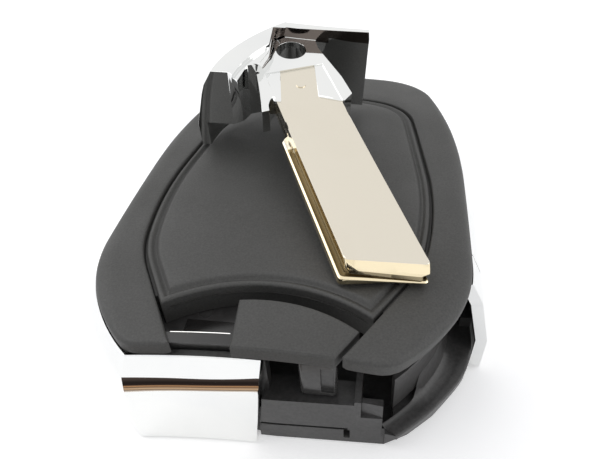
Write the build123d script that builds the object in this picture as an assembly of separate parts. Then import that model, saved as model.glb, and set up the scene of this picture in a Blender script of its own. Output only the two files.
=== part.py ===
from build123d import *
import os
from math import atan2, cos, degrees, radians, sin

# Car smart-key fob lying on its button face, with its emergency key pulled out and laid across its back.
# X is the fob's width, Y runs from the near (key) end to the far end, Z is up from the table.
# All shapes are drawn with Y counted from the near end and moved to the fob's middle when written.

# Driving sizes of the case
case_length = 60.0
case_height = 14.0
back_half_width = 19.25
near_corner_x = 11.4
near_corner_y = 0.8
near_apex_y = 1.5
crown_start_y = 12.0
crown_drop = 2.45
plate_thickness = 1.4
fit_gap = 0.15
seat_gap = 0.02

# Chrome trim
trim_flare = 1.13
trim_flare_height = 4.5
trim_bulge = 0.8
trim_round_height = 9.2
trim_round_flare = 1.075
trim_crease_height = 10.5
trim_crease_flare = 1.055
far_flare = 6.0
trim_wall = 1.2
trim_cut_top_x = 0.5
trim_cut_bottom_x = -1.0
trim_seam_y = 16.4
trim_end_y = 12.2
seam_gap = 0.12

# Opening in the back frame, the back panel and the release slider
opening_near_half = 7.4
opening_knee_half = 12.9
opening_knee_y = 10.6
opening_half = 15.0
opening_far_margin = 9.5
groove = 0.3
panel_arc_radius = 16.4
panel_arc_apex_y = 9.1
panel_border = 0.95
panel_border_drop = 0.28
slider_clearance = 1.9
slider_left_top_x = -2.5
slider_left_near_x = -1.6
slider_travel = 2.6
slider_edge = 0.18
rim_round = 0.62
rim_drop = 0.55

# Release latch and its return spring
track_floor = 10.9
latch_left = 3.3
latch_right = 5.1
latch_nose = 1.7
latch_near = 2.6
latch_far = 6.3
latch_bottom = 6.6
latch_arm = 3.6
spring_length = 7.6
spring_wire = 0.36
spring_radius = 0.95
spring_turns = 5
spring_y = 5.4
spring_height = 8.9

# Front housing
floor_thickness = 1.6
housing_wall = 1.2
skirt_height = 4.4
step_height = 6.3
step_depth = 4.6
step_groove_z = 2.1
step_groove = 0.3
step_left_y = 1.68
step_right_y = 2.12
corner_taper = 25.0
corner_taper_height = 2.2
notch_left_x = 9.0
notch_right_x = 11.0
notch_floor = 3.0
rib_thickness = 0.6
liner_inset = 2.7
liner_thickness = 0.8
liner_height = 5.6
pocket_back_y = 21.5
pocket_side_x = 0.4
boss_radius = 1.9
screw_radius = 0.8
screw_head_radius = 1.25
seal_start_y = 17.0
seal_height = 0.6

# Front buttons and keypad
button_pitch = 12.5
boss_far_margin = 9.8
button_far_margin = 24.0
button_half_width = 8.0
button_half_length = 4.6
button_recess = 0.35
button_travel = 0.5
button_flange = 0.6
pad_thickness = 0.4
nib_radius = 1.4

# Circuit board and what it carries
board_bottom = 5.3
board_thickness = 1.0
switch_side = 4.4
switch_height = 1.3
plunger_radius = 1.1
plunger_height = 0.4
cell_radius = 10.0
cell_thickness = 3.2
cell_x = 1.5
cell_far_margin = 13.4
cell_top = 10.6
contact_thickness = 0.2

# Emergency key
blade_width = 7.2
blade_thickness = 2.5
blade_length = 22.6
blade_root = 7.5
blade_bottom = 8.0
blade_slant = 22.0
blade_ledge = 0.8
blade_ledge_start = 19.5
ledge_height = 0.95
upper_bottom = 1.5
side_groove = 0.7
tip_skew = 2.7
tip_bevel = 0.6
plate_height = 3.0
head_top_gap = 0.15
head_bottom = 1.15
head_wall = 1.15
ring_hole_radius = 1.85
ring_hole_x = 10.3
ring_hole_y = 4.3
blade_mouth_x = 6.766
blade_mouth_y = 15.046
pin_radius = 0.6
blade_play = 0.3

# Where the loose key lies on the back
laid_tip_x = 10.6
laid_tip_y = 10.3
laid_turn = 25.0
laid_tilt = 11.3


# Places that follow the case's length
far_limit = case_length + 20
cell_y = case_length - cell_far_margin
button_middle_y = case_length - button_far_margin
boss_far_y = case_length - boss_far_margin

# The curved lines that every piece shares

# Back surface: level at the near end, then crowned down towards the far end
def below_back(drop):
    far_y = case_length * 1.1
    top = case_height - drop
    level = Line((-12, top), (crown_start_y, top))
    crown = TangentArc((crown_start_y, top), (far_y, top - case_height + back_height(far_y)), tangent=(1, 0))
    sides = Polyline(crown @ 1, (far_y, -3), (-12, -3), (-12, top))
    profile = make_face([level, crown, sides])
    across = Plane(origin=(-40, 0, 0), x_dir=(0, 1, 0), z_dir=(1, 0, 0))
    return extrude(across * profile, 80)


def back_height(y):
    fall = max(0.0, y - crown_start_y) / (case_length - crown_start_y)
    return case_height - crown_drop * fall ** 2


# Arcs that run smoothly into each other, from the far end's middle down the right side
def smooth_arcs(points):
    arcs = []
    direction = (1, 0)
    for start, end in zip(points, points[1:]):
        arc = TangentArc(start, end, tangent=direction)
        direction = arc % 1
        arcs.append(arc)
    return arcs


def mirrored(arcs):
    return [arc.mirror(Plane.YZ) for arc in arcs]


# Plan outline of the case. flare widens it, bulge swells the near end, inset moves every side inward
def outline(flare=1.0, inset=0.0, bulge=0.0):
    def place(x, y):
        along = y / case_length
        return (x * flare, y - bulge * (1 - along) + far_flare * (flare - 1) * along)

    side_points = [(0, case_length), (9.0, case_length - 1.1), (16.2, case_length - 8.0),
                   (back_half_width, case_length / 2), (back_half_width - 0.25, 14.5),
                   (back_half_width - 2.35, 7.1), (near_corner_x, near_corner_y)]
    right = smooth_arcs([place(x, y) for x, y in side_points])
    left_corner = place(-near_corner_x, near_corner_y)
    near_arc = ThreePointArc(left_corner, place(0, near_apex_y), place(near_corner_x, near_corner_y))
    face = make_face(right + mirrored(right) + [near_arc])
    if inset:
        face = offset(face, -inset, kind=Kind.INTERSECTION)
    return face


# A prism of a plan face between two heights
def prism(face, low, high):
    return extrude(Pos(0, 0, low) * face, high - low)


def block(x0, x1, y0, y1, z0, z1):
    return Pos((x0 + x1) / 2, (y0 + y1) / 2, (z0 + z1) / 2) * Box(x1 - x0, y1 - y0, z1 - z0)


def polygon(points):
    return make_face([Polyline(*points, close=True)])


# Flared outside of the case, from the table to just under the back plate, with a crease near its top
def flared_body(inset, top_gap):
    top_z = case_height - plate_thickness
    bottom = Pos(0, 0, 0) * outline(trim_flare - 0.01, inset, trim_bulge - 0.1)
    widest = Pos(0, 0, trim_flare_height) * outline(trim_flare, inset, trim_bulge)
    turn = Pos(0, 0, trim_round_height) * outline(trim_round_flare, inset, trim_bulge)
    crease = Pos(0, 0, trim_crease_height) * outline(trim_crease_flare, inset, trim_bulge - 0.1)
    top = Pos(0, 0, top_z) * outline(1.0, inset)
    return loft([bottom, widest, turn, crease, top], ruled=True) & below_back(plate_thickness + top_gap)


# Opening of the back frame that takes the panel and the slider
def opening(shrink):
    far_y = case_length - opening_far_margin
    side_points = [(0, far_y), (8.6, far_y - 1.7), (13.4, far_y - 8.0), (opening_half, case_length / 2 - 1.0),
                   (opening_half - 0.35, opening_knee_y + 4.8), (opening_knee_half, opening_knee_y)]
    right = smooth_arcs(side_points)
    run = (opening_knee_half - opening_near_half) / (opening_knee_y - near_apex_y)
    reach = 4.0
    foot = opening_near_half - reach * run
    legs = Polyline((-opening_knee_half, opening_knee_y), (-foot, near_apex_y - reach),
                    (foot, near_apex_y - reach), (opening_knee_half, opening_knee_y))
    face = make_face(right + mirrored(right) + [legs])
    if shrink:
        face = offset(face, -shrink, kind=Kind.INTERSECTION)
    return face


# Round near end of the back panel: everything on the far side of the arc
def beyond_arc(extra):
    radius = panel_arc_radius - extra
    center_y = panel_arc_apex_y - panel_arc_radius
    disc = Pos(0, center_y) * Circle(radius)
    return Pos(0, case_length / 2) * Rectangle(60, 2 * far_limit) - disc


def inside_arc(extra):
    center_y = panel_arc_apex_y - panel_arc_radius
    return Pos(0, center_y) * Circle(panel_arc_radius - extra)


# Places of the emergency key: pushed home in the fob, and laid on the back
key_tip_x = blade_mouth_x - blade_length * sin(radians(blade_slant))
key_tip_y = blade_mouth_y + blade_length * cos(radians(blade_slant))
stowed = Location((key_tip_x, key_tip_y, blade_bottom), (0, 0, 180 + blade_slant))
tip_dip = tip_skew / 2 * sin(radians(laid_tilt))
laid = Location((laid_tip_x, laid_tip_y, case_height + seat_gap + tip_dip), (0, 0, laid_turn)) * Rot(laid_tilt, 0, 0)
take_out = laid * stowed.inverse()

under_plate = plate_thickness + seat_gap
trim_top = case_height - plate_thickness


# Chrome trim: a hollow flared band round the case, cut off where the key head begins
def trim_shell():
    outer = flared_body(0, seat_gap)
    inner = flared_body(trim_wall, -1)
    lower_lip = prism(outline(1.0, 3.2), -1, 1)
    return outer - inner - lower_lip


key_side = polygon([(trim_cut_top_x, -6), (40, -6), (40, trim_end_y), (15.0, trim_end_y),
                    (trim_cut_top_x, trim_end_y)])
key_zone = prism(key_side, -2, case_height + 2)
lean = degrees(atan2(trim_cut_top_x - trim_cut_bottom_x, trim_top))
lean_wedge = Pos(trim_cut_top_x, 3, trim_top) * Rot(0, lean, 0) * Pos(10, 0, -10) * Box(20, 18, 40)
band = trim_shell()
main_band = band - key_zone - lean_wedge
seam_cut = block(0, 40, -6, trim_seam_y + seam_gap / 2, -2, 20)
chrome_trim = main_band - seam_cut
end_stretch = block(14, 40, trim_end_y, trim_seam_y - seam_gap / 2, -2, 20)
chrome_trim_end = band & end_stretch

# Front housing: button face, flared skirt inside the trim, upright wall, and the pocket for the key head
housing_floor = prism(outline(trim_flare - 0.01, trim_wall + fit_gap, trim_bulge - 0.1), 0, floor_thickness)
wall_inset = trim_wall + fit_gap
skirt = flared_body(wall_inset, 0) - flared_body(wall_inset + housing_wall, 0)
skirt = skirt & block(-40, 40, -10, far_limit, 0, skirt_height)
upright_outer = prism(outline(1.0, wall_inset), 0, case_height)
upright_inner = prism(outline(1.0, wall_inset + housing_wall), floor_thickness, case_height)
seal_room = block(-40, 40, seal_start_y - 0.1, far_limit, 0, 20) - below_back(under_plate + seal_height + seat_gap)
upright = ((upright_outer - upright_inner) & below_back(under_plate)) - seal_room
pocket_room = block(trim_cut_top_x + 0.3, 40, -10, trim_seam_y - 1.2, step_height, 20)
corner_room = block(notch_right_x, 40, -10, trim_seam_y - 1.2, floor_thickness + 1.2, 20)
near_wall_room = block(pocket_side_x, notch_left_x, -10, 6, step_height, 20)
step_plan = polygon([(-4, step_left_y - 0.1), (notch_right_x + 0.3, step_right_y), (notch_right_x + 3, 5), (40, 34), (-4, 34)])
step_plan = step_plan & outline(1.0, 0.25)
step_face = prism(step_plan, 0, step_height)
trim_clear = lean_wedge.moved(Location((seam_gap, 0, 0)))
step_block = step_face & trim_clear & block(-0.8, notch_left_x - rib_thickness, -5, step_depth, 0, step_height)
rib = step_face & block(notch_left_x - rib_thickness, notch_left_x, -5, step_depth + 2, 0, step_height)
rib_raise = Pos(0, 0, 0.5) * rib
liner_plan = outline(1.0, liner_inset) - outline(1.0, liner_inset + liner_thickness)
liner = prism(liner_plan, 0, liner_height) & block(notch_right_x + 1.0, 40, -5, trim_seam_y, 0, 20)
low_wall = step_face & block(notch_left_x - 0.2, notch_right_x + 0.2, -5, step_right_y + 0.8, 0, notch_floor)
groove_cut = prism(outline(1.0, -1), step_groove_z, step_groove_z + step_groove)
groove_cut = groove_cut - Pos(0, 0.35, 0) * step_face
groove_cut = groove_cut & block(-2, notch_left_x - 1.2, -5, 6, 0, step_height)
foot_notch = block(notch_left_x - 1.6, notch_left_x - 1.0, -2, step_right_y + 0.6, 0.7, step_groove_z)
notch_room = block(notch_left_x, notch_right_x + 1.0, step_right_y + 0.8, pocket_back_y - 9.5, floor_thickness, 20)
corner_foot = polygon([(0, step_left_y), (notch_right_x + 0.3, step_right_y), (12.9, 3.0), (15.3, 5.2), (18.4, 9.6),
                       (20.0, 16), (0, 16)])
corner_bottom = block(trim_cut_top_x, 40, -10, trim_end_y, -1, corner_taper_height)
corner_bottom = corner_bottom - Pos(0, 0, -1) * extrude(corner_foot, 1)
corner_bottom = corner_bottom - extrude(corner_foot, corner_taper_height, taper=-corner_taper)
step_front = prism(polygon([(-0.8, -6), (-0.8, step_left_y), (notch_right_x + 0.3, step_right_y), (notch_right_x + 0.3, -6)]), -1, 20)

front_housing = housing_floor + upright + skirt
front_housing = front_housing - pocket_room - corner_room - near_wall_room - notch_room - corner_bottom - step_front
front_housing = front_housing + step_block + rib + rib_raise + low_wall + liner - groove_cut - foot_notch

button_ys = [button_middle_y - button_pitch, button_middle_y, button_middle_y + button_pitch]
button_names = ["button_lock", "button_unlock", "button_boot"]
button_rounding = 2.2


def button_plan(grow):
    return RectangleRounded(2 * (button_half_width + grow), 2 * (button_half_length + grow), button_rounding + grow)


for y in button_ys:
    front_housing = front_housing - Pos(0, y, -1) * extrude(button_plan(fit_gap), floor_thickness + 2)

boss_places = [(-14.4, 20.0), (14.6, 24.0), (-12.6, boss_far_y), (12.6, boss_far_y)]
boss_top = board_bottom - seat_gap
for x, y in boss_places:
    boss = Pos(x, y, boss_top / 2) * Cylinder(boss_radius, boss_top)
    pilot = Pos(x, y, boss_top / 2 + floor_thickness) * Cylinder(screw_radius, boss_top)
    front_housing = front_housing + boss - pilot

# Buttons: hard caps that come through the front face, each with a retaining flange inside
flange_bottom = floor_thickness + seat_gap
cap_nib_top = flange_bottom + button_flange
buttons = []
for y in button_ys:
    cap = extrude(button_plan(0), flange_bottom - button_recess + button_flange * 0.5)
    cap = Pos(0, y, button_recess) * chamfer(cap.faces().sort_by(Axis.Z)[0].edges(), 0.25)
    flange = Pos(0, y, flange_bottom) * extrude(button_plan(0.6), button_flange)
    buttons.append(cap + flange)

# Rubber keypad between the caps and the board, with one dome under each switch
pad_bottom = cap_nib_top + button_travel + seat_gap
pad_top = pad_bottom + pad_thickness
pad_plan = Pos(0, button_middle_y) * RectangleRounded(21.0, 2 * button_pitch + 12.0, 3.0)
button_pad = prism(pad_plan, pad_bottom, pad_top)
switch_bottom = board_bottom - seat_gap - switch_height
plunger_bottom = switch_bottom - plunger_height
for y in button_ys:
    dome_height = plunger_bottom - seat_gap - pad_top
    dome = Pos(0, y, pad_top + dome_height / 2) * Cone(nib_radius + 0.5, nib_radius, dome_height)
    button_pad = button_pad + dome
rail_height = board_bottom - seat_gap - pad_top
for side in (-1, 1):
    rail = block(side * 9.7 - 0.6, side * 9.7 + 0.6, button_middle_y - 17, button_middle_y + 17,
                 pad_top - 0.1, pad_top + rail_height)
    button_pad = button_pad + rail

# Tact switches on the board's front side
switches = []
for y in button_ys:
    case = Pos(0, y, switch_bottom + switch_height / 2) * Box(switch_side, switch_side, switch_height)
    case = chamfer(case.edges().filter_by(Axis.Z), 0.4)
    plunger = Pos(0, y, plunger_bottom + plunger_height / 2) * Cylinder(plunger_radius, plunger_height)
    switches.append(case + plunger)

# Circuit board, cut back for the key pocket and holed over the screw bosses
board_plan = outline(1.0, wall_inset + housing_wall + 0.3) & Pos(0, 18 + far_limit / 2) * Rectangle(60, far_limit)
board_plan = board_plan - Pos(19, 17) * Rectangle(10, 8)
circuit_board = prism(board_plan, board_bottom, board_bottom + board_thickness)
for x, y in boss_places:
    circuit_board = circuit_board - Pos(x, y, board_bottom) * Cylinder(screw_radius + 0.15, 4)

# Inner chassis: clamps the board and holds the blade channel, the coin cell and the slider's track
chassis_low = board_bottom + board_thickness + seat_gap
chassis_plan = outline(1.0, wall_inset + housing_wall + fit_gap)
chassis_body = prism(chassis_plan, chassis_low, case_height) & below_back(plate_thickness + 1.15)
pocket_line = [(pocket_side_x - 0.2, -6), (40, -6), (40, trim_seam_y - 0.2), (17.2, trim_seam_y - 0.2),
               (13.4, pocket_back_y - 3.4), (9.6, 18.0), (1.7, 14.9), (pocket_side_x - 0.2, 11.0)]
key_pocket = prism(polygon(pocket_line), chassis_low - 1, case_height)
channel_half = blade_width / 2 + blade_ledge / 2 + blade_play
channel = Pos(-blade_ledge / 2, (blade_length + 4) / 2 - 3.2, blade_thickness / 2)
channel = channel * Box(2 * channel_half, blade_length + 4, blade_thickness + 2 * blade_play)
channel = channel.moved(stowed)
cell_well = Pos(cell_x, cell_y, cell_top) * Cylinder(cell_radius + 0.25, 2 * (cell_thickness + 0.35))
cell_floor_z = cell_top - cell_thickness - 0.35
cell_well = cell_well & block(-30, 30, 0, 90, cell_floor_z, 20)
coil_bay = block(-14.8, -8.6, 29.0, 38.2, chassis_low - 1, chassis_low + 3.4)
chip_bay = block(-14.2, -8.6, 22.2, 28.4, chassis_low - 1, chassis_low + 2.0)
crystal_bay = block(8.6, 14.2, 24.5, 34.5, chassis_low - 1, chassis_low + 3.2)
inner_chassis = chassis_body - key_pocket - channel - cell_well - coil_bay - chip_bay - crystal_bay
track = block(-12.5, 14, -4, 10.9, track_floor, 20)
near_bay = block(-12.0, pocket_side_x - 1.0, 3.4, 12.5, chassis_low - 1, track_floor - 0.9)
inner_chassis = inner_chassis - track - near_bay
slot_left = latch_left - latch_arm - spring_length
latch_slot = block(slot_left, latch_right + 0.6, 3.9, latch_far + 0.4, latch_bottom - 0.3, 20)
inner_chassis = inner_chassis - latch_slot
for x, y in boss_places:
    screw_well = Pos(x, y, chassis_low + 6) * Cylinder(screw_head_radius + 0.25, 10)
    screw_hole = Pos(x, y, chassis_low) * Cylinder(screw_radius + 0.15, 4)
    inner_chassis = inner_chassis - screw_well - screw_hole

# Case screws: four alike, through chassis and board into the bosses
screw_seat = chassis_low + 1.0
case_screws = Part()
for x, y in boss_places:
    shank = Pos(x, y, screw_seat - 1.9) * Cylinder(screw_radius - seat_gap, 3.8 + 2 * seat_gap)
    head = Pos(x, y, screw_seat + seat_gap + 0.45) * Cylinder(screw_head_radius, 0.9)
    recess = Pos(x, y, screw_seat + 0.9) * Box(0.5, 1.9, 0.7) + Pos(x, y, screw_seat + 0.9) * Box(1.9, 0.5, 0.7)
    case_screws = case_screws + (shank + head - recess)

# Back frame: the matte plate with two legs, round the panel
frame_plan = outline(1.0, 0.12)
frame_plate = prism(frame_plan, 5, case_height) & below_back(0)
frame_plate = frame_plate - below_back(plate_thickness)
rim = [e for e in frame_plate.edges() if abs(e.center().Z - back_height(e.center().Y)) < 0.3]
frame_plate = chamfer(rim, rim_round, rim_drop)
back_frame = frame_plate - prism(opening(0), 5, 20)
lip_plan = outline(1.0, wall_inset + housing_wall + 0.25) - outline(1.0, wall_inset + housing_wall + 1.1)
frame_lip = prism(lip_plan, 8, 20) & below_back(plate_thickness - 0.05)
frame_lip = frame_lip - below_back(plate_thickness + 1.0) - prism(opening(-0.6), 5, 20)
frame_lip = frame_lip - block(-13.5, 40, -10, trim_seam_y, 0, 20)
back_frame = back_frame + frame_lip - Pos(cell_x, cell_y, 5) * Cylinder(cell_radius + 0.4, 2 * (cell_top - 4.8))

# Case seal: a soft cord on top of the upright wall, under the frame
cord_plan = outline(1.0, wall_inset + 0.1) - outline(1.0, wall_inset + housing_wall - 0.1)
cord = prism(cord_plan, 5, 20) & block(-40, 40, seal_start_y, far_limit, 5, 20) & below_back(under_plate)
case_seal = cord - below_back(under_plate + seal_height)

# Back panel: a raised field inside a lower border, with a downturned wall at the arc
panel_plan = opening(groove) & beyond_arc(0)
field_plan = opening(groove + panel_border) & beyond_arc(-panel_border)
border_band = prism(panel_plan, 5, case_height) & below_back(panel_border_drop)
raised_field = prism(field_plan, 5, case_height) & below_back(0)
panel_plate = (border_band + raised_field) - below_back(plate_thickness)
arc_wall_plan = (inside_arc(-1.4) - inside_arc(-0.25)) & opening(groove + 0.5) & Pos(0, 20) * Rectangle(60, 40)
arc_wall = prism(arc_wall_plan, track_floor + 0.35, case_height - plate_thickness + 0.1)
press_ring_plan = (Pos(cell_x, cell_y) * (Circle(7.2) - Circle(6.2))) & opening(groove + 1.0)
press_ring = prism(press_ring_plan, cell_top + 0.1, 20) & below_back(plate_thickness - 0.05)
back_panel = panel_plate + arc_wall + press_ring

# Release slider: the catch that frees the key, flush with the back

def slider_plan(shrink):
    left_top = slider_left_top_x + shrink
    left_near = slider_left_near_x + shrink
    left_side = polygon([(left_top, 12), (left_top, 6.9), (left_near, -4), (20, -4), (20, 12)])
    room = opening(groove + fit_gap + shrink) & inside_arc(slider_clearance + shrink) & left_side
    return room & outline(1.0, 0.05 + shrink)


slider_bottom = case_height - plate_thickness
slider_top = prism(slider_plan(0), slider_bottom, case_height - slider_edge)
slider_low_face = Pos(0, 0, case_height - slider_edge) * slider_plan(0)
slider_high_face = Pos(0, 0, case_height) * slider_plan(slider_edge)
slider_top = slider_top + loft([slider_low_face, slider_high_face], ruled=True)
slider_foot_plan = slider_plan(0) & Pos(1.9, 5.75) * Rectangle(6.8, 1.7)
slider_foot = prism(slider_foot_plan, track_floor + 0.1, case_height - plate_thickness)
release_slider = slider_top + slider_foot

# Release latch: glossy hook under the slider that drops in front of the key plate
latch_top = track_floor + 0.1 - seat_gap
hook_face = block(latch_left, latch_right + latch_nose, latch_near, latch_near + 1.0, latch_bottom, latch_top)
hook_stem = block(latch_left, latch_right, latch_near, latch_far, latch_bottom, latch_top)
hook_body = fillet((hook_face + hook_stem).edges().filter_by(Axis.Z).sort_by(Axis.Y)[:2], 0.45)
latch_pane = block(latch_right + 0.25, latch_right + latch_nose - 0.3, 0, latch_near + 0.3,
                   latch_bottom + 0.4, latch_top - 0.5)
spring_arm = block(latch_left - latch_arm, latch_left + 0.2, spring_y - 0.5, spring_y + 0.5,
                   spring_height - 0.5, spring_height + 0.5)
release_latch = hook_body - latch_pane + spring_arm

# Return spring of the slider, lying across in the latch slot
spring_left = slot_left + spring_wire / 2 + seat_gap
spring_right = latch_left - latch_arm - spring_wire / 2 - seat_gap
coil_path = Helix((spring_right - spring_left) / spring_turns, spring_right - spring_left, spring_radius)
coil_profile = Plane(origin=coil_path @ 0, z_dir=coil_path % 0) * Rectangle(spring_wire, spring_wire)
coil = sweep(coil_profile, path=coil_path)
release_spring = Pos(spring_left, spring_y, spring_height) * Rot(0, 90, 0) * coil

# Emergency key, drawn pushed home in the fob and then carried to its place on the back
plate_low = blade_bottom - (plate_height - blade_thickness) / 2
plate_high = plate_low + plate_height
head_high = trim_top - head_top_gap
head_body = flared_body(0, head_top_gap) & block(-5, 40, -10, 40, head_bottom, head_high)
head_end_y = trim_end_y - fit_gap
head_side = polygon([(trim_cut_top_x + seam_gap, -6), (40, -6), (40, head_end_y), (16.8, head_end_y), (15.6, 12.9),
                     (14.9, 9.8), (13.6, 9.3), (12.8, 7.0), (12.8, 2.1), (trim_cut_top_x + seam_gap, 2.1)])
head_block = head_body & prism(head_side, 0, 20) - lean_wedge.moved(Location((-20 + seam_gap, 0, 0)))
skirt_room = block(-5, 40, -10, 40, -1, skirt_height + 0.4)
wall_room = block(-5, 12.8, -10, 40, -1, 20)
head_block = head_block - (flared_body(head_wall, -3) & (skirt_room + wall_room))
edge_step = prism(outline(1.0, 2.6), head_high - 0.45, 20)
head_block = head_block - edge_step
plate_outline = polygon([(7.6, 1.2), (13.6, 1.2), (13.6, 9.6), (12.6, 9.4), (11.5, 12.0), (10.6, 13.7),
                         (9.8, 15.7), (3.2, 13.6), (2.4, 12.2), (3.7, 9.2), (7.0, 3.4)])
head_plate = prism(plate_outline, plate_low, plate_high) & prism(outline(1.0, 0.5), 0, 20)
hook_curve = Spline([(13.9, 9.6), (13.2, 12.4), (12.3, 16.6)])
hook_back = Polyline((12.3, 16.6), (11.5, 16.2))
hook_inner = Spline([(11.5, 16.2), (11.6, 14.2), (10.8, 12.8)])
hook_root = Polyline((10.8, 12.8), (11.6, 9.0), (13.9, 9.6))
hook = prism(make_face([hook_curve, hook_back, hook_inner, hook_root]), plate_low, plate_high)
key_head = head_block + head_plate + hook
ring_hole = Pos(ring_hole_x, ring_hole_y, plate_low) * Cylinder(ring_hole_radius, 3 * plate_height)
key_head = key_head - ring_hole

half_blade = blade_width / 2


def blade_plan(left, right, setback, length):
    skew = tip_skew / 2
    corner = 0.7
    return polygon([(-left, setback + skew + corner), (-left + corner, setback + skew),
                    (right - corner, setback - skew), (right, setback - skew + corner),
                    (right, length), (-left, length)])


lower = prism(blade_plan(half_blade + blade_ledge, half_blade - 0.25, 0.05, blade_ledge_start), 0, ledge_height)
lower_corner = lower.edges().filter_by(Axis.Z).group_by(Axis.Y)[-1]
lower = fillet(lower_corner.sort_by(Axis.X)[:1], 0.75)
core_half = half_blade - side_groove
core = prism(blade_plan(core_half, core_half, 0.5, blade_length), 0, blade_thickness - 0.1)
upper_foot = Pos(0, 0, upper_bottom) * blade_plan(half_blade, half_blade, 0, blade_length)
upper_top = Pos(0, 0, blade_thickness) * blade_plan(half_blade, half_blade, tip_bevel, blade_length)
upper = loft([upper_foot, upper_top], ruled=True)
root_middle = blade_length + blade_root / 2 - 0.75
root = prism(Pos(0, root_middle) * Rectangle(blade_width, blade_root + 1.5), 0, blade_thickness)
key_blade = (lower + core + upper + root).moved(stowed)
blade_seat = prism(Pos(0, blade_length + blade_root / 2) * Rectangle(blade_width + 2 * seat_gap, blade_root + 2 * seat_gap),
                   -seat_gap, plate_height).moved(stowed)
key_head = key_head - blade_seat
pin_place = stowed * Pos(0, blade_length + blade_root * 0.6, plate_height / 2 - 0.25)
pin_hole = Cylinder(pin_radius, 4 * plate_height).moved(pin_place)
key_head = key_head - pin_hole
key_blade = key_blade - pin_hole
key_pin = Cylinder(pin_radius - seat_gap, plate_height - 0.3).moved(pin_place)

key_head = key_head.moved(take_out)
key_blade = key_blade.moved(take_out)
key_pin = key_pin.moved(take_out)

# Coin cell with its two contacts
coin_cell = Pos(cell_x, cell_y, cell_top - cell_thickness / 2) * Cylinder(cell_radius, cell_thickness)
coin_cell = coin_cell - Pos(cell_x, cell_y, cell_top) * (Cylinder(cell_radius + 1, 0.5) - Cylinder(cell_radius - 0.6, 0.5))
tab_low = board_bottom + board_thickness + seat_gap
contact_low_z = cell_top - cell_thickness - seat_gap - contact_thickness
negative = block(cell_x - 1.6, cell_x + 1.6, cell_y - 7, cell_y + 3, contact_low_z, contact_low_z + contact_thickness)
positive_x = cell_x + cell_radius + seat_gap
positive = block(positive_x, positive_x + contact_thickness, cell_y - 2, cell_y + 2, tab_low, cell_top - 0.5)
positive_foot = block(positive_x, positive_x + 1.8, cell_y - 2, cell_y + 2, tab_low, tab_low + contact_thickness)
battery_contact_positive = positive + positive_foot
negative_leg = block(cell_x - 1.6, cell_x + 1.6, cell_y - 7, cell_y - 7 + contact_thickness, tab_low, contact_low_z + 0.1)
battery_contact_negative = negative + negative_leg
contact_room = block(cell_x - 1.9, cell_x + 1.9, cell_y - 7.3, cell_y + 3.3, chassis_low - 1, cell_top - cell_thickness)
contact_room = contact_room + block(positive_x - 0.3, positive_x + 2.1, cell_y - 2.3, cell_y + 2.3, chassis_low - 1, cell_top)
inner_chassis = inner_chassis - contact_room

# Parts on the board's back side
coil_core = block(-14.2, -9.2, 29.8, 37.4, tab_low, tab_low + 3.0)
antenna_coil = fillet(coil_core.edges().filter_by(Axis.Z), 0.8)
radio_chip = block(-13.4, -9.4, 23.2, 27.2, tab_low, tab_low + 0.9)
crystal = fillet(block(9.4, 13.4, 27.0, 30.2, tab_low, tab_low + 1.0).edges().filter_by(Axis.Z), 0.6)

# Writing the nodes, moved so that the fob's middle is the origin
nodes = {
    "front_housing": front_housing,
    "inner_chassis": inner_chassis,
    "back_frame": back_frame,
    "back_panel": back_panel,
    "case_seal": case_seal,
    "chrome_trim": chrome_trim,
    "chrome_trim_end": chrome_trim_end,
    "release_slider": release_slider,
    "release_latch": release_latch,
    "release_spring": release_spring,
    "key_head": key_head,
    "key_blade": key_blade,
    "key_pin": key_pin,
    "button_pad": button_pad,
    "circuit_board": circuit_board,
    "coin_cell": coin_cell,
    "battery_contact_positive": battery_contact_positive,
    "battery_contact_negative": battery_contact_negative,
    "antenna_coil": antenna_coil,
    "radio_chip": radio_chip,
    "crystal": crystal,
    "case_screws": case_screws,
}
for name, button in zip(button_names, buttons):
    nodes[name] = button
for name, switch in zip(["switch_lock", "switch_unlock", "switch_boot"], switches):
    nodes[name] = switch

os.makedirs("parts", exist_ok=True)
for name, solid in nodes.items():
    export_step(Pos(0, -case_length / 2, 0) * solid, f"parts/{name}.step")
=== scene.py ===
import bpy
import math
from mathutils import Matrix, Vector


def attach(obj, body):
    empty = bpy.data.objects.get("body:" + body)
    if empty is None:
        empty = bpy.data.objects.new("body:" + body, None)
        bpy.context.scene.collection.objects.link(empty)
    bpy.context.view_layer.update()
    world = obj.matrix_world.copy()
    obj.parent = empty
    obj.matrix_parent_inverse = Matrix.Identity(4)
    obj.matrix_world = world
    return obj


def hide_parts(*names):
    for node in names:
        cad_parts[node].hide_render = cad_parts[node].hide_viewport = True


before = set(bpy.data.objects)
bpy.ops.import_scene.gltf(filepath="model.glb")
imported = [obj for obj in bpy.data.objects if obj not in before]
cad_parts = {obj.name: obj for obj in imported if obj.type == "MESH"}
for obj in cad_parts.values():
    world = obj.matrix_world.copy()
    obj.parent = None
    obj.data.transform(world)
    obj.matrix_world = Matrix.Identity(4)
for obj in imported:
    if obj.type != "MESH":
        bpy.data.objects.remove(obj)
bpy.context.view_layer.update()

# Camera: a hand-held close-up from the key end, looking down on the fob's back.
# Its lens and its place were fitted to the fob's outlines.
camera_data = bpy.data.cameras.new("camera")
camera_data.lens = 32.38
camera_data.sensor_width = 36.0
camera_data.clip_start = 0.005
camera = bpy.data.objects.new("camera", camera_data)
bpy.context.scene.collection.objects.link(camera)
camera.location = (0.01016, -0.05583, 0.05073)
camera.rotation_euler = (math.radians(49.903), math.radians(2.777), math.radians(8.171))
bpy.context.scene.camera = camera


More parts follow.
